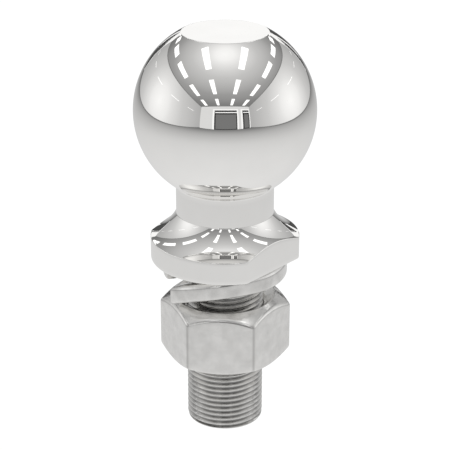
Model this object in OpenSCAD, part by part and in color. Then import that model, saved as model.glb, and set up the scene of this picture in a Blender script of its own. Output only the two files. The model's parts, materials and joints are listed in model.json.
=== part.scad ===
// Trailer hitch ball: a one-piece ball stud with its split lock washer and hex nut.
// Z is the shank axis, +Z towards the ball, and z = 0 is the flange face that seats on the tongue.
// Plan angles are counted from +X towards +Y.

/* [Ball] */
// Diameter of the ball that the coupler closes on
ball_d = 58.74; // [45:0.01:80]
// Diameter of the flat on top of the ball
ball_flat_d = 27.9; // [10:0.1:34]
// Radius that breaks the edge of the flat
ball_flat_edge_r = 0.6; // [0.2:0.1:2]

/* [Neck] */
// Diameter of the neck between ball and flange
neck_d = 32; // [26:0.5:40]
// Length of the neck's straight wall, between the flange's sweep and the ball's fillet
neck_length = 9.12; // [1:0.01:20]
// Radius of the fillet where the neck meets the ball
neck_ball_fillet_r = 1.2; // [0.5:0.1:3]

/* [Flange] */
// Diameter of the flange
flange_d = 49; // [45:0.5:60]
// Height of the flange's side wall
flange_wall = 7.6; // [4:0.1:12]
// Distance across the two wrench flats
flange_across_flats = 41.3; // [38:0.1:44]
// Radius of the hollow sweep on top of the flange
flange_sweep_r = 16.1; // [12:0.1:24]
// Lean of the sweep from the axis where it meets the neck, in degrees
flange_sweep_lean = 23.5; // [5:0.5:35]
// Plan angle that the first wrench flat faces
flange_flat_angle = -40.5; // [-180:0.5:180]
// Radius on the flange's lower edge
flange_edge_r = 0.5; // [0.2:0.1:1.5]

/* [Shank] */
// Major diameter of the threaded shank
shank_d = 25.4; // [20:0.1:31]
// Length of the shank below the seat
shank_length = 59; // [45:0.5:90]
// Plain length between the seat and the thread
plain_length = 5; // [3:0.5:10]
// How much larger in radius the plain length is than the thread crest
plain_step = 0.05; // [0.02:0.01:0.1]
// Pitch of the thread
thread_pitch = 1.814; // [1.4:0.001:2.6]
// How far the flat tip stands in from the bevel, in radius
tip_inset = 1.3; // [0.5:0.1:4]
// Height of the flat tip
tip_h = 0.3; // [0.1:0.1:1]
// Depth of the bevel round the end, below the thread crest
end_bevel = 1.4; // [1.2:0.1:1.8]

/* [Lock washer] */
// Clearance between the shank and the washer, in radius
washer_clearance = 0.4; // [0.2:0.1:0.8]
// Width of the washer's section
washer_w = 7.5; // [5:0.1:9]
// Thickness of the washer
washer_t = 6.35; // [4:0.05:8]
// How far the sprung end is set away from the other end
washer_set = 7.23; // [6.4:0.01:12]
// Sweep of the part of the ring that bends away
washer_bend_sweep = 91; // [60:1:150]
// Plan angle of the sprung end's face
washer_end_angle = -151; // [-180:1:180]
// Width of the split, as an angle
washer_gap_angle = 11; // [6:1:20]
// Radius of the section's corners
washer_corner_r = 1; // [0.4:0.1:2]

/* [Nut] */
// Wall of the nut, from the thread's major diameter to a flat
nut_wall = 6.35; // [5.3:0.05:10]
// Height of the nut
nut_h = 21.8; // [16:0.1:26]
// Plan angle that one corner of the nut points to
nut_corner_angle = -4.5; // [-30:0.5:30]
// Gap between the sprung end of the washer and the nut
nut_seat_gap = 0.02; // [0.01:0.01:0.05]
// Slope of the bevel on the nut's upper corners, in degrees
nut_top_bevel = 35; // [25:1:40]
// Width of the flat ring left on the nut's upper face
nut_land_w = 0.35; // [0.2:0.05:1]
// Widening of the nut's bore at its upper face, in radius
nut_sink_w = 3.6; // [1:0.1:3.8]
// Slope of the bevel on the nut's lower corners, in degrees
nut_bottom_bevel = 30; // [25:1:35]
// How far the round lower face stands in from the flats
nut_bottom_inset = 0.95; // [0.5:0.05:2]
// Widening of the nut's bore at its lower face, in radius
nut_bottom_sink_w = 0.7; // [0.3:0.1:1.5]
// Clearance between the shank's thread and the nut's thread, in radius
thread_clearance = 0.2; // [0.16:0.01:0.3]

/* [Hidden] */
$fn = 96;

ball_r = ball_d / 2;
neck_r = neck_d / 2;
flange_r = flange_d / 2;

// Up the stud: the centre of the flange's sweep, the foot of the neck, its fillet, and the ball
sweep_x = neck_r + flange_sweep_r * cos(flange_sweep_lean);
sweep_z = flange_wall + sqrt(pow(flange_sweep_r, 2) - pow(max(0, sweep_x - flange_r), 2));
foot_z = sweep_z - flange_sweep_r * sin(flange_sweep_lean);
fillet_x = neck_r + neck_ball_fillet_r;
fillet_z = foot_z + neck_length;
ball_centre_z = fillet_z + sqrt(pow(ball_r + neck_ball_fillet_r, 2) - pow(fillet_x, 2));
flat_z = ball_centre_z + sqrt(pow(ball_r, 2) - pow(ball_flat_d / 2, 2));

// 60 degree thread: one eighth of the pitch is flat on the crest and a quarter in the root
thread_r = shank_d / 2;
thread_depth = 5 / 8 * thread_pitch * cos(30);
crest_part = 1 / 8;
root_part = 1 / 4;
flank_part = (1 - crest_part - root_part) / 2;
thread_sides = 36;
thread_end_z = -shank_length + tip_h;
thread_runout = 0.1;
thread_turns = ceil((-plain_length - thread_end_z - thread_runout) / thread_pitch);
thread_top_z = thread_end_z + thread_runout + thread_pitch * (thread_turns + 1 - flank_part);

washer_ir = thread_r + washer_clearance;
washer_or = washer_ir + washer_w;
washer_step = 5;
corner_steps = 4;

nut_top_z = -washer_t - washer_set - nut_seat_gap;
nut_bottom_z = nut_top_z - nut_h;
nut_flat_r = thread_r + nut_wall;
nut_corner_r = nut_flat_r / cos(30);
nut_sink_r = thread_r + thread_clearance + nut_sink_w;
nut_bottom_sink_r = thread_r + thread_clearance + nut_bottom_sink_w;
nut_bottom_land_r = nut_flat_r - nut_bottom_inset;
bore_r = thread_r - thread_depth + thread_clearance;

function polar(r, a, z) = [r * cos(a), r * sin(a), z];

// One turn of a 60 degree thread has four edges, one after the other down the axis
function edge_part(k) = [0, crest_part, crest_part + flank_part, 1 - flank_part][k];
function edge_on_crest(k) = k < 2;

// A solid rod with a right-hand thread: its edges are rows that climb one pitch a turn. It starts
// at top_z and runs for whole turns, and its lower end is a flat ring of radius bottom_r at
// bottom_z, from which a 45 degree bevel cuts across the thread.
module threaded_rod(crest_r, root_r, top_z, turns, bottom_z, bottom_r) {
    n = thread_sides;
    rows = 4 * turns + 3;
    function row_z(j, i) = top_z + thread_pitch * (i / n - floor(j / 4) - edge_part(j % 4));
    function row_r(j, z) = min(edge_on_crest(j % 4) ? crest_r : root_r, bottom_r + z - bottom_z);
    function row_point(j, i) = let (z = row_z(j, i)) polar(row_r(j, z), 360 * i / n, z);
    body = [for (j = [0 : rows], i = [0 : n - 1]) row_point(j, i)];
    start = [for (j = [0 : 3]) row_point(j, n)];
    ring = [for (i = [0 : n - 1]) polar(bottom_r, 360 * i / n, bottom_z)];
    top_centre = [[0, 0, top_z]];
    points = concat(body, start, ring, top_centre);

    start_at = len(body);
    ring_at = start_at + len(start);
    centre_at = ring_at + n;
    // A row's point one turn on is the start of the row four above it
    function at(j, i) = i < n ? j * n + i : j < 4 ? start_at + j : (j - 4) * n;
    function ring_at_side(i) = ring_at + i % n;

    sides = [for (j = [0 : rows - 1], i = [0 : n - 1])
        each [[at(j, i), at(j, i + 1), at(j + 1, i + 1)], [at(j, i), at(j + 1, i + 1), at(j + 1, i)]]];
    top = concat(
        [for (i = [0 : n - 1]) [centre_at, at(0, i + 1), at(0, i)]],
        [for (j = [0 : 3]) [centre_at, at(j + 1, n), at(j, n)]]
    );
    skirt = [for (i = [0 : n - 1])
        each [[at(rows, i), at(rows, i + 1), ring_at_side(i + 1)],
              [at(rows, i), ring_at_side(i + 1), ring_at_side(i)]]];
    step = [concat([for (k = [4 : -1 : 0]) at(rows - k, 0)], [ring_at_side(0)])];
    bottom = [[for (i = [0 : n - 1]) ring_at_side(i)]];
    polyhedron(points, concat(sides, top, skirt, step, bottom), convexity = 10);
}

// Half outline of the ball, with its flat and the broken edge of the flat
module ball_outline() {
    e = ball_flat_edge_r;
    edge_z = flat_z - e;
    edge_x = sqrt(pow(ball_r - e, 2) - pow(edge_z - ball_centre_z, 2));
    meet = ball_r / (ball_r - e);
    meet_x = edge_x * meet;
    meet_z = ball_centre_z + (edge_z - ball_centre_z) * meet;
    intersection() {
        translate([0, ball_centre_z]) circle(ball_r);
        translate([0, meet_z - 2 * ball_r]) square([2 * ball_r, 2 * ball_r]);
    }
    translate([edge_x, edge_z]) circle(e);
    polygon([[0, ball_centre_z], [meet_x, meet_z], [edge_x, edge_z], [edge_x, flat_z], [0, flat_z]]);
}

// Half outline of the neck, which runs into the ball with a small fillet
module neck_outline() {
    r = neck_ball_fillet_r;
    meet_z = ball_centre_z + (fillet_z - ball_centre_z) * ball_r / (ball_r + r);
    square([neck_r, ball_centre_z]);
    difference() {
        translate([0, fillet_z]) square([fillet_x, meet_z - fillet_z]);
        translate([fillet_x, fillet_z]) circle(r);
    }
}

// Half outline of the flange, whose top sweeps up to the foot of the neck in one hollow arc. A
// flange that is wider than the arc has a level ring outside it.
module flange_outline() {
    r = flange_sweep_r;
    square([flange_r - flange_edge_r, flange_wall]);
    translate([0, flange_edge_r]) square([flange_r, flange_wall - flange_edge_r]);
    translate([flange_r - flange_edge_r, flange_edge_r]) circle(flange_edge_r);
    difference() {
        translate([0, flange_wall]) square([flange_r, foot_z - flange_wall]);
        translate([sweep_x, sweep_z]) circle(r);
        translate([sweep_x, sweep_z - r]) square([flange_r, r + 1]);
    }
}

module stud_outline() {
    intersection() {
        union() {
            ball_outline();
            neck_outline();
            flange_outline();
        }
        square([2 * ball_r, flat_z]);
    }
}

// What the two wrench flats take off the flange
module flange_flat_cuts() {
    cut = flange_r;
    for (side = [0, 180])
        rotate([0, 0, flange_flat_angle + side])
            translate([flange_across_flats / 2, -cut, -1])
                cube([cut, 2 * cut, foot_z + 1]);
}

module shank() {
    plain_r = thread_r + plain_step;
    translate([0, 0, -plain_length]) cylinder(r = plain_r, h = plain_length);
    threaded_rod(
        thread_r,
        thread_r - thread_depth,
        thread_top_z,
        thread_turns,
        thread_end_z,
        thread_r - end_bevel
    );
    translate([0, 0, -shank_length])
        cylinder(r = thread_r - end_bevel - tip_inset, h = 2 * thread_pitch);
}

module ball_stud() {
    color("gainsboro") {
        difference() {
            rotate_extrude() stud_outline();
            flange_flat_cuts();
        }
        shank();
    }
}

// The split lock washer: a rectangular section with round corners, flat for most of its turn and
// then bending down to the sprung end
module lock_washer() {
    c = washer_corner_r;
    corners = [
        [washer_ir + c, -c, 90],
        [washer_ir + c, c - washer_t, 180],
        [washer_or - c, c - washer_t, 270],
        [washer_or - c, -c, 0]
    ];
    section = [for (k = corners, s = [0 : corner_steps])
        let (a = k[2] + 90 * s / corner_steps) [k[0] + c * cos(a), k[1] + c * sin(a)]];
    sweep = 360 - washer_gap_angle;
    steps = ceil(sweep / washer_step);
    bend_end = washer_bend_sweep;
    function drop(a) = a < bend_end ? washer_set * pow((bend_end - a) / bend_end, 2) : 0;
    m = len(section);
    points = [for (s = [0 : steps], p = section)
        let (a = sweep * s / steps) polar(p[0], washer_end_angle + a, p[1] - drop(a))];
    skin = [for (s = [0 : steps - 1], k = [0 : m - 1])
        let (p = s * m + k, q = s * m + (k + 1) % m)
        each [[p, q, q + m], [p, q + m, p + m]]];
    low_end = [[for (k = [m - 1 : -1 : 0]) k]];
    high_end = [[for (k = [0 : m - 1]) steps * m + k]];
    color("silver") polyhedron(points, concat(skin, low_end, high_end), convexity = 6);
}

// What both corner bevels leave of the nut: a turned blank with a conical shoulder at each face
module bevel_keep() {
    reach = nut_corner_r + 1;
    top_land_r = nut_sink_r + nut_land_w;
    rotate_extrude()
        polygon([
            [0, nut_bottom_z],
            [nut_bottom_land_r, nut_bottom_z],
            [reach, nut_bottom_z + (reach - nut_bottom_land_r) * tan(nut_bottom_bevel)],
            [reach, nut_top_z - (reach - top_land_r) * tan(nut_top_bevel)],
            [top_land_r, nut_top_z],
            [0, nut_top_z]
        ]);
}

// A 45 degree countersink that opens upwards to mouth_r at z = 0 and runs on into the bore
module countersink(mouth_r) {
    depth = mouth_r - bore_r + 1;
    translate([0, 0, -depth]) cylinder(r1 = mouth_r - depth, r2 = mouth_r, h = depth);
}

module hex_nut() {
    tap_turns = ceil(nut_h / thread_pitch) + 3;
    turns_above = floor((thread_top_z - nut_top_z) / thread_pitch) - 2;
    tap_top_z = thread_top_z - turns_above * thread_pitch;
    color("darkgray")
        difference() {
            intersection() {
                translate([0, 0, nut_bottom_z])
                    rotate([0, 0, nut_corner_angle])
                        cylinder(r = nut_corner_r, h = nut_h, $fn = 6);
                bevel_keep();
            }
            translate([0, 0, nut_top_z]) countersink(nut_sink_r);
            translate([0, 0, nut_bottom_z]) mirror([0, 0, 1]) countersink(nut_bottom_sink_r);
            threaded_rod(
                thread_r + thread_clearance,
                bore_r,
                tap_top_z,
                tap_turns,
                tap_top_z - (tap_turns + 2) * thread_pitch,
                bore_r - thread_depth
            );
        }
}

ball_stud();
lock_washer();
hex_nut();
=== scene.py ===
import json
import math

import bmesh
import bpy
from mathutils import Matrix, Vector


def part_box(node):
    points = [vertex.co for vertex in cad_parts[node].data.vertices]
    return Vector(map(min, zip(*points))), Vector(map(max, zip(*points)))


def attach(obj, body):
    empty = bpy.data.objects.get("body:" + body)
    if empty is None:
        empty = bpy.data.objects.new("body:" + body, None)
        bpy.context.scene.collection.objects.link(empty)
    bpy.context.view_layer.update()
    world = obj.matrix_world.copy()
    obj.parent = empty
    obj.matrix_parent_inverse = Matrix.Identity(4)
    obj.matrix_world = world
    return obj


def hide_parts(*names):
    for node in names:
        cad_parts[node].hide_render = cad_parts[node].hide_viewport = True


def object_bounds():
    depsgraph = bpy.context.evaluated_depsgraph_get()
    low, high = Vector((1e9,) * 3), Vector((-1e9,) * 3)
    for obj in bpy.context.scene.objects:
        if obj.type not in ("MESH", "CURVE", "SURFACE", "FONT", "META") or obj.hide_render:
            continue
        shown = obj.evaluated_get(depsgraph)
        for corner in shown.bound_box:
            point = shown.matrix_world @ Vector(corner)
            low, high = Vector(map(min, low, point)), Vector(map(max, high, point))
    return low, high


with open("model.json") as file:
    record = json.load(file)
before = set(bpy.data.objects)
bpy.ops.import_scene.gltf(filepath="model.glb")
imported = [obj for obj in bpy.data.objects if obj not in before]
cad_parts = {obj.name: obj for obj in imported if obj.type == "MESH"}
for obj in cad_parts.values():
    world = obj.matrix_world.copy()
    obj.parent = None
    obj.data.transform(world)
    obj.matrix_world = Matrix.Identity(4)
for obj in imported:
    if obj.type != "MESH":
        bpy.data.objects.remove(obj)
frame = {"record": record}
cad_low, cad_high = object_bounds()


# ---------------------------------------------------------------- studio
# The camera stands in front of the part, looks down at it and has a long lens.
# It comes first because everything else is judged from it.
camera_place = Vector((0, -0.46708, 0.20677))
camera_pitch = math.radians(67.221)

camera_data = bpy.data.cameras.new("camera")
camera_data.lens = 123.23
camera = bpy.data.objects.new("camera", camera_data)
camera.location = camera_place
camera.rotation_euler = (camera_pitch, 0, 0)
bpy.context.scene.collection.objects.link(camera)
bpy.context.scene.camera = camera
bpy.context.scene.view_settings.view_transform = "Standard"


# ---------------------------------------------------------------- ball stud
# One steel forging: the ball, its neck and the flange with two wrench flats are turned, ground,
# polished and chrome plated. The shank below goes through the tongue and has a rolled right-hand
# thread.
MM = 0.001
ball_mount = next(m for m in frame["record"]["mounts"] if m["name"] == "coupler_ball")
stud_low, stud_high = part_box("ball_stud")
ball_z = ball_mount["pos_m"][2]
ball_r = stud_high.x
ball_top = stud_high.z
flat_round = 0.6 * MM
neck_r = 16 * MM
neck_fillet = 1.2 * MM
flange_r = 24.5 * MM
flange_wall = 7.6 * MM
flange_foot = 0.5 * MM
flange_rim = 0.16 * MM
flange_corner = 0.6 * MM
wrench_flat = 41.3 / 2 * MM
wrench_angle = math.radians(-40.5)
sweep_r = 16.1 * MM
sweep_lean = math.radians(23.5)
neck_start = 0.1 * MM
weld_gap = 0.002 * MM
no_length = 0.0005 * MM
smooth_below = math.radians(35)


def arc(x, z, r, start, end, steps):
    """Points of an arc about (x, z), from one angle in degrees to another, both included."""
    turns = [math.radians(start + (end - start) * i / steps) for i in range(steps + 1)]
    return [(x + r * math.cos(a), z + r * math.sin(a)) for a in turns]


def straight(a, b, steps):
    """Points from a towards b, without b."""
    return [tuple(p + (q - p) * i / steps for p, q in zip(a, b)) for i in range(steps)]


def eased(a, corner, b, steps=4):
    """A corner rounded off between two points, both included."""
    parts = [i / steps for i in range(steps + 1)]
    return [tuple((1 - t) ** 2 * p + 2 * t * (1 - t) * q + t * t * r
                  for p, q, r in zip(a, corner, b)) for t in parts]


def as_columns(plan):
    """A closed plan of (x, y) points as the (angle, radius) of each column."""
    return [(math.atan2(y, x), math.hypot(x, y)) for x, y in plan]


def spun(point, angle):
    """A plan point turned about the axis."""
    x, y = point
    return (x * math.cos(angle) - y * math.sin(angle), x * math.sin(angle) + y * math.cos(angle))


def turned(angles, outlines):
    """A skin whose outline, a list of (radius, height), may differ from one angle to the next."""
    skin = bmesh.new()
    rows = [[skin.verts.new((r * math.cos(a), r * math.sin(a), z)) for r, z in outline]
            for a, outline in zip(angles, outlines)]
    for here, after in zip(rows, rows[1:] + rows[:1]):
        for k in range(len(here) - 1):
            skin.faces.new((here[k], after[k], after[k + 1], here[k + 1]))
    return skin, rows


def merged(first, *others):
    """The first skin with the others added to it."""
    for other in others:
        mesh = bpy.data.meshes.new("part")
        other.to_mesh(mesh)
        other.free()
        first.from_mesh(mesh)
        bpy.data.meshes.remove(mesh)
    return first


def finished(name, skin, materials):
    """The skin as an object at the origin: welded, closed, facing outwards and smooth."""
    bmesh.ops.remove_doubles(skin, verts=skin.verts, dist=weld_gap)
    bmesh.ops.dissolve_degenerate(skin, edges=skin.edges, dist=no_length)
    bmesh.ops.recalc_face_normals(skin, faces=skin.faces)
    for face in skin.faces:
        face.smooth = True
    mesh = bpy.data.meshes.new(name)
    skin.to_mesh(mesh)
    skin.free()
    mesh.set_sharp_from_angle(angle=smooth_below)
    for material in materials:
        mesh.materials.append(material)
    piece = bpy.data.objects.new(name, mesh)
    bpy.context.scene.collection.objects.link(piece)
    return piece


def add(tree, kind, inputs=None, **settings):
    """Adds a node. Inputs are values, or sockets to link, by the input's name or number."""
    node = tree.nodes.new(kind)
    for key, value in settings.items():
        setattr(node, key, value)
    for key, value in (inputs or {}).items():
        if isinstance(value, bpy.types.NodeSocket):
            tree.links.new(value, node.inputs[key])
        else:
            node.inputs[key].default_value = value
    return node


def colour(hex_code):
    """A linear colour, with its alpha of one, from an sRGB hex code."""
    parts = [int(hex_code[i:i + 2], 16) / 255 for i in (0, 2, 4)]
    return [p / 12.92 if p <= 0.04045 else ((p + 0.055) / 1.055) ** 2.4 for p in parts] + [1.0]


# The flange's sweep is a hollow arc that leans in to meet the neck at an edge. Small fillets join
# the neck to the ball and the ball to its flat top.
sweep_x = neck_r + sweep_r * math.cos(sweep_lean)
sweep_z = flange_wall + math.sqrt(sweep_r ** 2 - (sweep_x - flange_r) ** 2)
foot_z = sweep_z - sweep_r * math.sin(sweep_lean)
fillet_x = neck_r + neck_fillet
fillet_z = ball_z - math.sqrt((ball_r + neck_fillet) ** 2 - fillet_x ** 2)
fillet_end = math.degrees(math.atan2(ball_z - fillet_z, -fillet_x))
flat_round_x = math.sqrt((ball_r - flat_round) ** 2 - (ball_top - flat_round - ball_z) ** 2)
flat_round_turn = math.degrees(math.atan2(ball_top - flat_round - ball_z, flat_round_x))
foot_steps, wall_steps, sweep_steps = 4, 7, 44
neck_steps, fillet_steps = 6, 6
ball_steps, edge_steps, top_steps = 110, 5, 6


def sweep_angle(r):
    """Where on the flange's sweep, in degrees about its centre, a radius from the axis lies."""
    return 180 + math.degrees(math.acos((sweep_x - r) / sweep_r))


def head_outline(rim_r):
    """The head's outline at one plan angle. A wrench flat cuts the rim back to a lesser radius."""
    rim_z = sweep_z - math.sqrt(sweep_r ** 2 - (rim_r - sweep_x) ** 2)
    sweep_end = 180 + math.degrees(sweep_lean)
    foot = arc(rim_r - flange_foot, flange_foot, flange_foot, -90, 0, foot_steps)
    wall = straight((rim_r, flange_foot), (rim_r, rim_z - flange_rim), wall_steps)[1:]
    sweep = arc(sweep_x, sweep_z, sweep_r, sweep_angle(rim_r - flange_rim), sweep_end, sweep_steps)
    rim = eased((rim_r, rim_z - flange_rim), (rim_r, rim_z), sweep[0])[:-1]
    neck = straight((neck_r, foot_z + neck_start), (neck_r, fillet_z), neck_steps)
    fillet = arc(fillet_x, fillet_z, neck_fillet, 180, fillet_end, fillet_steps)
    ball = arc(0, ball_z, ball_r, fillet_end - 180, flat_round_turn, ball_steps)[1:]
    edge = arc(flat_round_x, ball_top - flat_round, flat_round, flat_round_turn, 90, edge_steps)[1:]
    top = straight((flat_round_x, ball_top), (0, ball_top), top_steps)[1:]
    outer = foot + wall + rim + sweep + neck + fillet
    return [(0, 0), (neck_r, 0)] + outer + ball + edge + top + [(0, ball_top)]


# The plan of the flange: two flats and two arcs, with each corner between them eased
flat_half = math.sqrt(flange_r ** 2 - wrench_flat ** 2)
flat_reach = math.atan2(flat_half, wrench_flat)
after_corner = flat_reach + flange_corner / flange_r
arc_turn = math.degrees(after_corner)
flat_steps, arc_steps = 44, 80
flange_plan = []
for side in (0, math.pi):
    flat_start = (wrench_flat, flange_corner - flat_half)
    flat_end = (wrench_flat, flat_half - flange_corner)
    before = spun((flange_r, 0), -after_corner)
    after = spun((flange_r, 0), after_corner)
    flat_side = eased(before, (wrench_flat, -flat_half), flat_start)[1:-1]
    flat_side += straight(flat_start, flat_end, flat_steps)
    flat_side += eased(flat_end, (wrench_flat, flat_half), after)
    arc_side = arc(0, 0, flange_r, arc_turn, 180 - arc_turn, arc_steps)[1:]
    flange_plan += [spun(p, wrench_angle + side) for p in flat_side + arc_side]
columns = as_columns(flange_plan)
head, _ = turned([a for a, _ in columns], [head_outline(r) for _, r in columns])


# A section wound round the Z axis: one tree makes the rolled thread, the lock washer and the nut's
# tapped bore. The section is the modifier's own mesh, a row of points at (radius, 0, height).
# A point a turn on is one lead higher, and the first part of the sweep drops away to a sprung end.
winding = bpy.data.node_groups.new("wound_section", "GeometryNodeTree")
winding.interface.new_socket("Section", in_out="INPUT", socket_type="NodeSocketGeometry")
for socket, kind in (("Start", "Float"), ("Sweep", "Float"), ("Steps", "Int"), ("Lead", "Float"),
                     ("Drop", "Float"), ("Drop Sweep", "Float"), ("Material", "Material")):
    winding.interface.new_socket(socket, in_out="INPUT", socket_type="NodeSocket" + kind)
winding.interface.new_socket("Wound", in_out="OUTPUT", socket_type="NodeSocketGeometry")
given = add(winding, "NodeGroupInput").outputs
count = add(winding, "GeometryNodeAttributeDomainSize", {0: given["Section"]},
            component="MESH").outputs[0]
stations = add(winding, "ShaderNodeMath", {0: given["Steps"], 1: 1.0}, operation="ADD").outputs[0]
grid = add(winding, "GeometryNodeMeshGrid",
           {"Vertices X": stations, "Vertices Y": count}).outputs["Mesh"]
index = add(winding, "GeometryNodeInputIndex").outputs[0]
step = add(winding, "ShaderNodeMath", {0: index, 1: count}, operation="DIVIDE").outputs[0]
step = add(winding, "ShaderNodeMath", {0: step}, operation="FLOOR").outputs[0]
point = add(winding, "ShaderNodeMath", {0: index, 1: count}, operation="FLOORED_MODULO").outputs[0]
along = add(winding, "GeometryNodeInputPosition").outputs[0]
section = add(winding, "GeometryNodeSampleIndex",
              {"Geometry": given["Section"], "Value": along, "Index": point},
              data_type="FLOAT_VECTOR")
section = add(winding, "ShaderNodeSeparateXYZ", {0: section.outputs[0]}).outputs
share = add(winding, "ShaderNodeMath", {0: step, 1: given["Steps"]}, operation="DIVIDE").outputs[0]
swept = add(winding, "ShaderNodeMath", {0: share, 1: given["Sweep"]},
            operation="MULTIPLY").outputs[0]
angle = add(winding, "ShaderNodeMath", {0: swept, 1: given["Start"]}, operation="ADD").outputs[0]
turns = add(winding, "ShaderNodeMath", {0: swept, 1: 2 * math.pi}, operation="DIVIDE").outputs[0]
climb = add(winding, "ShaderNodeMath", {0: turns, 1: given["Lead"], 2: section["Z"]},
            operation="MULTIPLY_ADD").outputs[0]
left = add(winding, "ShaderNodeMapRange",
           {0: swept, 1: 0.0, 2: given["Drop Sweep"], 3: 1.0, 4: 0.0}).outputs[0]
bend = add(winding, "ShaderNodeMath", {0: left, 1: 2.0}, operation="POWER").outputs[0]
fall = add(winding, "ShaderNodeMath", {0: bend, 1: given["Drop"]}, operation="MULTIPLY").outputs[0]
height = add(winding, "ShaderNodeMath", {0: climb, 1: fall}, operation="SUBTRACT").outputs[0]
cosine = add(winding, "ShaderNodeMath", {0: angle}, operation="COSINE").outputs[0]
sine = add(winding, "ShaderNodeMath", {0: angle}, operation="SINE").outputs[0]
x, y = (add(winding, "ShaderNodeMath", {0: way, 1: section["X"]}, operation="MULTIPLY").outputs[0]
        for way in (cosine, sine))
place = add(winding, "ShaderNodeCombineXYZ", {0: x, 1: y, 2: height}).outputs[0]
wound = add(winding, "GeometryNodeSetPosition", {"Geometry": grid, "Position": place}).outputs[0]
wound = add(winding, "GeometryNodeRealizeInstances", {0: wound}).outputs[0]
wound = add(winding, "GeometryNodeSetMaterial",
            {0: wound, "Material": given["Material"]}).outputs[0]
add(winding, "NodeGroupOutput", {0: wound})


def wind(points, material, **sizes):
    """Winds a section, a list of (radius, height), and gives the result as a loose bmesh.

    The sizes are the tree's inputs by name. Sweep and Steps have to be among them.
    """
    edges = [(i, i + 1) for i in range(len(points) - 1)]
    mesh = bpy.data.meshes.new("section")
    mesh.from_pydata([(r, 0, z) for r, z in points], edges, [])
    work = bpy.data.objects.new("section", mesh)
    bpy.context.scene.collection.objects.link(work)
    modifier = work.modifiers.new("wind", "NODES")
    modifier.node_group = winding
    wanted = {"Start": 0.0, "Lead": 0.0, "Drop": 0.0, "Drop Sweep": 1.0}
    wanted.update(sizes, Material=material)
    for socket in winding.interface.items_tree:
        if socket.in_out == "INPUT" and socket.name in wanted:
            modifier[socket.identifier] = wanted[socket.name]
    graph = bpy.context.evaluated_depsgraph_get()
    made = bpy.data.meshes.new_from_object(work.evaluated_get(graph))
    skin = bmesh.new()
    skin.from_mesh(made)
    work.modifiers.remove(modifier)
    bpy.data.objects.remove(work)
    return skin


# The thread is rolled at 60 degrees, with a narrow crest and a rounded root. A plain collar joins
# it to the flange, and a small bevel ends it. The two spare turns are folded into those two.
shank_r = 12.7 * MM
shank_end = stud_low.z
collar_r = shank_r + 0.05 * MM
collar_z = -5 * MM
pitch = 1.814 * MM
thread_flank = math.radians(30)
thread_depth = 5 / 8 * pitch * math.cos(thread_flank)
thread_sides = 96
spare_turns = 2
tip_h = 0.3 * MM
bevel_r = 12.5 * MM
tip_r = 12.4 * MM
thread_end = shank_end + tip_h
thread_turns = math.ceil((collar_z - thread_end) / pitch) + spare_turns


def thread_section(crest_r, low):
    """One pitch of the thread from crest to crest, upwards from a height.

    A step is a share of the pitch and a share of the depth.
    """
    steps = ((0, 0), (1 / 16, 0), (0.12, 0.12), (0.33, 0.86), (0.4, 0.98), (0.5, 1),
             (0.6, 0.98), (0.67, 0.86), (0.88, 0.12), (15 / 16, 0), (1, 0))
    return [(crest_r - depth * thread_depth, low + part * pitch) for part, depth in steps]


# The noise seldom leaves this range, which is stretched over the whole of a tone or a gloss
noise_low, noise_high = 0.3, 0.7
mottle_detail, grain_detail = 4.0, 3.0


def noise(tree, size, detail):
    """A socket with noise whose lumps are about one size across, in metres."""
    place = add(tree, "ShaderNodeTexCoord").outputs["Object"]
    return add(tree, "ShaderNodeTexNoise",
               {"Vector": place, "Scale": 1 / size, "Detail": detail}).outputs[0]


def metal(name, light, dark, mottle, rough, grain, bump, bump_depth):
    """A metal whose tone wanders between two colours, and its roughness between two values.

    Mottle and grain are the sizes of the patches in the tone and of the lumps in the surface.
    """
    material = bpy.data.materials.new(name)
    material.use_nodes = True
    tree = material.node_tree
    shader = tree.nodes["Principled BSDF"]
    shader.inputs["Metallic"].default_value = 1.0
    tone = add(tree, "ShaderNodeMapRange",
               {0: noise(tree, mottle, mottle_detail), 1: noise_low, 2: noise_high})
    mixed = add(tree, "ShaderNodeMix", {"Factor": tone.outputs[0]}, data_type="RGBA")
    mixed.inputs[6].default_value = colour(dark)
    mixed.inputs[7].default_value = colour(light)
    tree.links.new(mixed.outputs[2], shader.inputs["Base Color"])
    gloss = add(tree, "ShaderNodeMapRange", {0: noise(tree, grain, grain_detail), 1: noise_low,
                                             2: noise_high, 3: rough[0], 4: rough[1]})
    tree.links.new(gloss.outputs[0], shader.inputs["Roughness"])
    relief = add(tree, "ShaderNodeBump", {"Strength": bump, "Distance": bump_depth,
                                          "Height": noise(tree, grain, grain_detail)})
    tree.links.new(relief.outputs[0], shader.inputs["Normal"])
    return material


def with_painted_shade(material, amount, tone):
    """Darkens the metal with painted shade: multiplies its colour by a tone where the amount, a
    socket, comes to one.
    """
    tree = material.node_tree
    target = tree.nodes["Principled BSDF"].inputs["Base Color"]
    mixed = add(tree, "ShaderNodeMix", {"Factor": amount}, data_type="RGBA", blend_type="MULTIPLY")
    tree.links.new(target.links[0].from_socket, mixed.inputs[6])
    mixed.inputs[7].default_value = colour(tone)
    tree.links.new(mixed.outputs[2], target)


def groove_depth(material, root, crest):
    """A socket that is one at the root of a thread and none at its crest."""
    tree = material.node_tree
    place = add(tree, "ShaderNodeTexCoord").outputs["Object"]
    flat = add(tree, "ShaderNodeVectorMath", {0: place, 1: (1, 1, 0)},
               operation="MULTIPLY").outputs[0]
    out = add(tree, "ShaderNodeVectorMath", {0: flat}, operation="LENGTH").outputs["Value"]
    return add(tree, "ShaderNodeMapRange", {0: out, 1: root, 2: crest, 3: 1.0, 4: 0.0}).outputs[0]


# Chrome plate over ground and polished steel: bright, nearly colourless and a mirror, with only a
# breath of orange peel in lumps of 2.5 mm.
mirror_chrome = metal("polished_chrome_plate", "FAF9F7", "F7F6F4", mottle=9 * MM,
                      rough=(0.012, 0.03), grain=2.5 * MM, bump=0.015, bump_depth=0.02 * MM)
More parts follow.
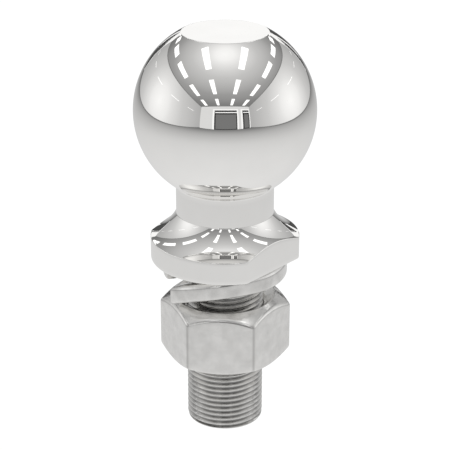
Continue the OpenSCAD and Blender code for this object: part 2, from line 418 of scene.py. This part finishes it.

# Thin plate over a rolled thread: grey and satin, and darker down in the grooves, where painted
# shade lies over the duller plate that polishing doesn't reach. Its grain is drawn at 1.6 mm,
# coarser than the real tenths of a millimetre, so that it shows.
thread_chrome = metal("rolled_thread_plate", "ECEBE9", "DAD9D7", mottle=3 * MM,
                      rough=(0.14, 0.22), grain=1.6 * MM, bump=0.1, bump_depth=0.03 * MM)
# Painted shade, with the unpolished dullness, deepening from near the crest down to the root of the
# groove
undarkened_depth = 0.3 * thread_depth
groove_shade_and_grime = groove_depth(thread_chrome, shank_r - thread_depth, shank_r - undarkened_depth)
with_painted_shade(thread_chrome, groove_shade_and_grime, "A8A8A8")

thread = wind(thread_section(shank_r, thread_end - pitch), thread_chrome, Lead=pitch,
              Sweep=2 * math.pi * thread_turns, Steps=thread_sides * thread_turns)
for vert in thread.verts:
    r = math.hypot(vert.co.x, vert.co.y)
    z = vert.co.z
    if z > collar_z:
        new_r, new_z = collar_r, collar_z
    elif z < thread_end:
        new_r, new_z = bevel_r, thread_end
    else:
        new_r, new_z = min(r, bevel_r + z - thread_end), z
    vert.co = (vert.co.x * new_r / r, vert.co.y * new_r / r, new_z)

around = [2 * math.pi * i / thread_sides for i in range(thread_sides)]
collar_outline = [(0, flange_foot), (collar_r, flange_foot),
                  (collar_r, collar_z / 2), (collar_r, collar_z)]
tip_outline = [(bevel_r, thread_end), (tip_r, thread_end), (tip_r, shank_end), (0, shank_end)]
collar, _ = turned(around, [collar_outline] * thread_sides)
tip, _ = turned(around, [tip_outline] * thread_sides)
shank = merged(collar, tip, thread)
for face in shank.faces:
    face.material_index = 1
ball_stud = finished("ball_stud_plated", merged(head, shank), (mirror_chrome, thread_chrome))
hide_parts("ball_stud")
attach(ball_stud, "ball_stud")


# ---------------------------------------------------------------- lock washer
# A split ring of zinc-plated spring steel, coiled from nearly square bar with rounded corners. It
# lies flat under the flange for most of its turn, and its sprung end bends down to the nut.
washer_low, washer_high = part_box("lock_washer")
washer_inner = 13.1 * MM
washer_outer = 20.6 * MM
washer_t = 6.35 * MM
washer_corner = 1.6 * MM
washer_cut_edge = 0.35 * MM
washer_start = math.radians(-151)
washer_split = math.radians(11)
washer_sweep = 2 * math.pi - washer_split
washer_bend = math.radians(91)
washer_steps, corner_steps, side_steps = 180, 6, 4

# Bright zinc on bar steel: a soft white metal shine with cloudy patches. Its fine grain is drawn at
# 1.5 mm, coarser than the real quarter of a millimetre, so that it shows.
zinc_washer = metal("zinc_plated_spring_steel", "F0EFED", "D4D3D1", mottle=5 * MM,
                    rough=(0.1, 0.16), grain=1.5 * MM, bump=0.25, bump_depth=0.05 * MM)

# The bar's section, from its upper inner corner down and round to its upper outer one
across = washer_outer - washer_inner
bar = []
for turn, (x, z) in zip((90, 180, 270, 360), ((0, 0), (0, -1), (1, -1), (1, 0))):
    centre_x = washer_inner + washer_corner + x * (across - 2 * washer_corner)
    centre_z = washer_high.z - washer_corner + z * (washer_t - 2 * washer_corner)
    corner = arc(centre_x, centre_z, washer_corner, turn, turn + 90, corner_steps)
    if bar:
        bar += straight(bar[-1], corner[0], side_steps)[1:]
    bar += corner
bar += straight(bar[-1], bar[0], side_steps)[1:] + bar[:1]
ring = wind(bar, zinc_washer, Start=washer_start, Sweep=washer_sweep, Steps=washer_steps,
            Drop=washer_high.z - washer_low.z - washer_t, **{"Drop Sweep": washer_bend})
bmesh.ops.remove_doubles(ring, verts=ring.verts, dist=weld_gap)
open_ends = [e for e in ring.edges if e.is_boundary]
cut = bmesh.ops.holes_fill(ring, edges=open_ends)["faces"]
bmesh.ops.bevel(ring, geom=[e for f in cut for e in f.edges], offset=washer_cut_edge,
                offset_type="OFFSET", segments=2, profile=0.5, affect="EDGES", clamp_overlap=True)
lock_washer = finished("lock_washer_zinc", ring, (zinc_washer,))
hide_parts("lock_washer")
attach(lock_washer, "lock_washer")


# ---------------------------------------------------------------- hex nut
# A heavy forged hex nut of zinc-plated steel, bevelled at both faces, with a deep countersink and
# a tapped bore. It screws up the shank and clamps the tongue through the lock washer.
nut_low, nut_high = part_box("hex_nut")
nut_top = nut_high.z
nut_bottom = nut_low.z
nut_flat = 38.1 / 2 * MM
nut_turned = math.radians(-4.5)
thread_gap = 0.2 * MM
bore_crest_r = shank_r + thread_gap
sink_top_r = bore_crest_r + 3.6 * MM
sink_bottom_r = bore_crest_r + 0.7 * MM
land_top_r = sink_top_r + 0.35 * MM
land_bottom_r = nut_flat - 0.95 * MM
bevel_top = math.tan(math.radians(35))
bevel_bottom = math.tan(math.radians(30))
nut_edge = 0.8 * MM
nut_corner = 0.85 * MM
sixth = math.pi / 3
bevel_steps, nut_wall_steps, under_steps = 6, 8, 3
face_steps, ease_steps = 16, 4
side_columns = face_steps + ease_steps
nut_columns = 6 * side_columns

# Zinc over a forged and machined blank: satin and even in tone, with a thin line of painted shade
# along the corners. Its grain is drawn at 1.2 mm, coarser than real, so that it shows.
zinc_nut = metal("zinc_plated_forged_steel", "F0EFED", "E0DFDD", mottle=4 * MM,
                 rough=(0.14, 0.22), grain=1.2 * MM, bump=0.18, bump_depth=0.05 * MM)
# Painted shade: a thin darker line along the nut's corners, read from the corner attribute
corner_shade = add(zinc_nut.node_tree, "ShaderNodeAttribute", attribute_name="corner").outputs["Fac"]
with_painted_shade(zinc_nut, corner_shade, "DCDCDC")


def nut_outline(wall_r):
    """The nut's outline at one plan angle, from the upper countersink out, down and in again."""
    top_edge = nut_top - (wall_r - land_top_r) * bevel_top
    bottom_edge = nut_bottom + (wall_r - land_bottom_r) * bevel_bottom
    top_ease = eased((wall_r - nut_edge, top_edge + nut_edge * bevel_top), (wall_r, top_edge),
                     (wall_r, top_edge - nut_edge))
    bottom_ease = eased((wall_r, bottom_edge + nut_edge), (wall_r, bottom_edge),
                        (wall_r - nut_edge, bottom_edge - nut_edge * bevel_bottom))
    upper = straight((land_top_r, nut_top), top_ease[0], bevel_steps)
    side = straight(top_ease[-1], bottom_ease[0], nut_wall_steps)[1:]
    lower = straight(bottom_ease[-1], (land_bottom_r, nut_bottom), under_steps)[1:]
    under = straight((land_bottom_r, nut_bottom), (sink_bottom_r, nut_bottom), under_steps)
    outer = upper + top_ease + side + bottom_ease + lower + under
    return [(sink_top_r, nut_top)] + outer + [(sink_bottom_r, nut_bottom)]


# The plan of the nut: six sides and their eased corners. The first column is moved to the middle
# of a corner, and the bore's columns are wound from there too.
nut_plan = []
half_side = nut_flat * math.tan(sixth / 2)
for k in range(6):
    start, stop = (nut_flat, nut_corner - half_side), (nut_flat, half_side - nut_corner)
    beyond = spun(start, sixth)
    side = straight(start, stop, face_steps)
    side += eased(stop, (nut_flat, half_side), beyond, ease_steps)[:-1]
    nut_plan += [spun(p, nut_turned + sixth / 2 + k * sixth) for p in side]
half_ease = ease_steps // 2
nut_plan = nut_plan[-half_ease:] + nut_plan[:-half_ease]
columns = as_columns(nut_plan)
nut, rows = turned([a for a, _ in columns], [nut_outline(r) for _, r in columns])

# The first and last rows meet the bore. The rows between the bevels get the mark for the painted
# shade line along the corners: all of it in the middle of a corner and half of it in the next
# columns.
corner_shade_mark = nut.verts.layers.float.new("corner")
corner_shade_at = {0: 1.0, 1: 0.5, side_columns - 1: 0.5}
bevel_rows = 8
per_column = len(rows[0])
for n, vert in enumerate(nut.verts):
    i, k = divmod(n, per_column)
    even = nut_turned + 2 * math.pi * i / nut_columns
    if k == 0:
        vert.co.xy = spun((sink_top_r, 0), even)
    elif k == per_column - 1:
        vert.co.xy = spun((sink_bottom_r, 0), even)
    elif bevel_rows < k < per_column - bevel_rows:
        vert[corner_shade_mark] = corner_shade_at.get(i % side_columns, 0.0)

# The tapped bore has the shank's thread a clearance wider, and in phase with it. Its spare turns
# are folded into the two countersinks, which cut the thread away at 45 degrees.
bore_turns = math.ceil((nut_top - nut_bottom) / pitch) + 1 + spare_turns
bore_start = thread_end + (math.ceil((nut_bottom - thread_end) / pitch) - spare_turns) * pitch
bore = wind(thread_section(bore_crest_r, bore_start), zinc_nut, Lead=pitch, Start=nut_turned,
            Sweep=2 * math.pi * bore_turns, Steps=nut_columns * bore_turns)
for vert in bore.verts:
    r = math.hypot(vert.co.x, vert.co.y)
    in_phase = vert.co.z + nut_turned / (2 * math.pi) * pitch
    z = min(max(in_phase, nut_bottom), nut_top)
    new_r = max(r, sink_top_r - (nut_top - z), sink_bottom_r - (z - nut_bottom))
    if z in (nut_bottom, nut_top):
        new_r = sink_top_r if z == nut_top else sink_bottom_r
    vert.co = (vert.co.x * new_r / r, vert.co.y * new_r / r, z)
hex_nut = finished("hex_nut_zinc", merged(nut, bore), (zinc_nut,))
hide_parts("hex_nut")
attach(hex_nut, "hex_nut")


# ---------------------------------------------------------------- room and floor
# The part is polished, so it shows the room it stands in: a long white studio with four rows of
# flat ceiling lights, softly lit side walls and dark windows in both end walls. Every surface of
# the
# room gives off light of its own: painted light, which on the ceiling, floor and side walls is
# brightest about a spot and falls off to grey away from it. The room's sizes are shares of its
# height above the ball. The camera sees only the white light table below.
room_h = 2.0
room_half = 1.4 * room_h
room_back = -2.38 * room_h
room_front = 2.8 * room_h
floor_drop = -0.23
room_floor = ball_z + floor_drop * room_h
room_ceiling = ball_z + room_h
room_length = room_front - room_back
reach = 3 * room_h
painted_light_gain, frame_gain, lamp_gain = 1.05, 1.1, 1.4


def glow(name, stops, centre=(0, 0, 0), strength=painted_light_gain):
    """A surface that gives off light, with a painted pool of light whose tone falls off with the
    distance from a bright spot.

    A stop is a share of the reach and a tone, and the first two are those at both ends.
    """
    material = bpy.data.materials.new(name)
    material.use_nodes = True
    tree = material.node_tree
    tree.nodes.clear()
    place = add(tree, "ShaderNodeTexCoord").outputs["Object"]
    away = add(tree, "ShaderNodeVectorMath", {0: place, 1: centre},
               operation="DISTANCE").outputs["Value"]
    share = add(tree, "ShaderNodeMath", {0: away, 1: reach}, operation="DIVIDE").outputs[0]
    ramp = add(tree, "ShaderNodeValToRGB", {0: share})
    for i, (where, tone) in enumerate(stops):
        stop = ramp.color_ramp.elements[i] if i < 2 else ramp.color_ramp.elements.new(where)
        stop.position = where
        stop.color = colour(tone)
    light = add(tree, "ShaderNodeEmission", {"Color": ramp.outputs[0], "Strength": strength})
    add(tree, "ShaderNodeOutputMaterial", {0: light.outputs[0]})
    return material


def sheet(name, corner, along, across, material):
    """A flat rectangle from a corner and its two sides."""
    corner, along, across = Vector(corner), Vector(along), Vector(across)
    points = [corner, corner + along, corner + along + across, corner + across]
    mesh = bpy.data.meshes.new(name)
    mesh.from_pydata(points, [], [(0, 1, 2, 3)])
    mesh.materials.append(material)
    obj = bpy.data.objects.new(name, mesh)
    obj.visible_camera = False
    bpy.context.scene.collection.objects.link(obj)
    return obj


# Painted light on the ceiling, floor and side walls: bright about a spot, falling off to grey
# further away
ceiling_painted_light = glow("ceiling_painted_light", [
    (0, "FBFBFB"), (1, "6E6E6E"), (0.05, "F5F5F5"), (0.1, "E3E3E3"), (0.15, "D2D2D2"),
    (0.21, "C3C3C3"), (0.3, "B4B4B4"), (0.37, "A8A8A8"), (0.44, "9B9B9B"), (0.55, "929292"),
    (0.68, "838383")], centre=(0, 0, room_ceiling))
floor_painted_light = glow("floor_painted_light", [
    (0, "E1E1E1"), (1, "505050"), (0.07, "DBDBDB"), (0.11, "D7D7D7"), (0.17, "D0D0D0"),
    (0.25, "C0C0C0"), (0.32, "B5B5B5"), (0.45, "A1A1A1"), (0.6, "8A8A8A")],
    centre=(0, 0, room_floor))
wall_stops = [(0, "FCFCFC"), (1, "A8A8A8"), (0.07, "F5F5F5"), (0.13, "EEEEEE"), (0.18, "E3E3E3"),
              (0.25, "D8D8D8"), (0.35, "C9C9C9"), (0.5, "BEBEBE"), (0.68, "B4B4B4")]
wall_spot_y = 0.05 * room_h
wall_spot_z = ball_z + 0.2 * room_h
side_walls = ((-1, "left"), (1, "right"))
for side, name in side_walls:
    wall_painted_light = glow(name + "_wall_painted_light", wall_stops,
                      centre=(side * room_half, wall_spot_y, wall_spot_z))
    sheet(name + "_wall", (side * room_half, room_back, room_floor), (0, room_length, 0),
          (0, 0, room_ceiling - room_floor), wall_painted_light)
sheet("ceiling", (-room_half, room_back, room_ceiling), (2 * room_half, 0, 0),
      (0, room_length, 0), ceiling_painted_light)
sheet("room_floor", (-room_half, room_back, room_floor), (2 * room_half, 0, 0),
      (0, room_length, 0), floor_painted_light)

white = glow("white_wall", [(0, "E2E2E2"), (1, "D8D8D8")])
bright = glow("bright_frame", [(0, "FFFFFF"), (1, "F4F4F4")], strength=frame_gain)
dark = glow("window_dark", [(0, "8A8A8A"), (1, "707070")])
black = glow("dark_trim", [(0, "303030"), (1, "202020")])
dusk = glow("front_window_dark", [(0, "5C5C5C"), (1, "4C4C4C")])
lamp = glow("ceiling_light", [(0, "FFFFFF"), (1, "FFFFFF")], strength=lamp_gain)
gap = 0.004 * room_h


def rectangle(name, y, x0, x1, z0, z1, material, layer):
    """A patch on an end wall, in shares of the room's height from the ball."""
    step = gap * layer * (1 if y < 0 else -1)
    sheet(name, (x0 * room_h, y + step, ball_z + z0 * room_h), ((x1 - x0) * room_h, 0, 0),
          (0, 0, (z1 - z0) * room_h), material)


# End walls. Each has its place, how tall its windows are, its paint, its glass and the left and
# right edge of each window. A window is a bright frame, a dark trim, a bright bar and the glass.
half_width = room_half / room_h
end_walls = {"back": (room_back, 1, white, dark, ((-0.55, 0.63), (0.95, 1.35))),
             "front": (room_front, 0.72, bright, dusk,
                       ((-1.34, -0.75), (-0.6, 0.1), (0.3, 0.85), (1, 1.34)))}
for name, (y, tall, paint, glass, spans) in end_walls.items():
    rectangle(name + "_wall", y, -half_width, half_width, floor_drop, 1, paint, 0)
    window = (("frame", -0.1, 0.08, floor_drop, 0.84 * tall, bright, 1),
              ("trim", 0, 0, floor_drop, 0.77 * tall, black, 2),
              ("bar", 0.04, 0, 0.625 * tall, 0.68 * tall, bright, 3),
              ("glass", 0.07, -0.05, -0.2, 0.555 * tall, glass, 3))
    for k, (x0, x1) in enumerate(spans):
        for part, inset, outset, z0, z1, material, layer in window:
            rectangle(f"{name}_{part}_{k}", y, x0 + inset, x1 + outset, z0, z1, material, layer)

# Lights: four rows along the ceiling, and thin light slots along both side walls
light_rows = ((-1.08, -0.92), (-0.4, -0.27), (0.27, 0.4), (0.92, 1.08))
light_count, light_first, light_every, light_half = 6, -1.905, 0.935, 0.31
slot_count, slot_first, slot_every, slot_half = 5, -1.45, 0.93, 0.2
slot_z, slot_h = 0.52, 0.012
edge_shade_h = 0.03 * room_h
for row, (x0, x1) in enumerate(light_rows):
    for k in range(light_count):
        middle = light_first + k * light_every
        sheet(f"light_{row}_{k}", (x0 * room_h, (middle - light_half) * room_h, room_ceiling - gap),
              ((x1 - x0) * room_h, 0, 0), (0, 2 * light_half * room_h, 0), lamp)
for side, name in side_walls:
    near_wall = side * (room_half - gap)
    for k in range(slot_count):
        middle = slot_first + k * slot_every
        sheet(f"{name}_slot_{k}",
              (near_wall, (middle - slot_half) * room_h, ball_z + slot_z * room_h),
              (0, 2 * slot_half * room_h, 0), (0, 0, slot_h * room_h), lamp)
    # Painted shade: dark strips where each side wall meets the floor and the ceiling
    for edge, z in (("floor_edge_shade", room_floor), ("ceiling_edge_shade", room_ceiling - edge_shade_h)):
        sheet(f"{name}_{edge}", (near_wall, room_back, z), (0, room_length, 0),
              (0, 0, edge_shade_h), dark)

world = bpy.data.worlds.new("world")
world.use_nodes = True
world.node_tree.nodes["Background"].inputs["Color"].default_value = (1, 1, 1, 1)
bpy.context.scene.world = world

# The light table closes the view below the part. It is clear from underneath, so a view from
# below sees past it, and it neither shows in the metal nor shades it.
table_top = cad_low.z - 42 * MM
table_half = 3.0
table_paint = glow("light_table", [(0, "FFFFFF"), (1, "FFFFFF")])
surface = table_paint.node_tree.nodes["Material Output"].inputs["Surface"]
lit_side = surface.links[0].from_socket
behind = add(table_paint.node_tree, "ShaderNodeNewGeometry").outputs["Backfacing"]
clear = add(table_paint.node_tree, "ShaderNodeBsdfTransparent").outputs[0]
one_sided = add(table_paint.node_tree, "ShaderNodeMixShader", {0: behind, 1: lit_side, 2: clear})
table_paint.node_tree.links.new(one_sided.outputs[0], surface)
floor = sheet("floor", (-table_half, -table_half, table_top), (2 * table_half, 0, 0),
              (0, 2 * table_half, 0), table_paint)
floor.visible_camera = True
floor.visible_glossy = False
floor.visible_diffuse = False
floor.visible_shadow = False
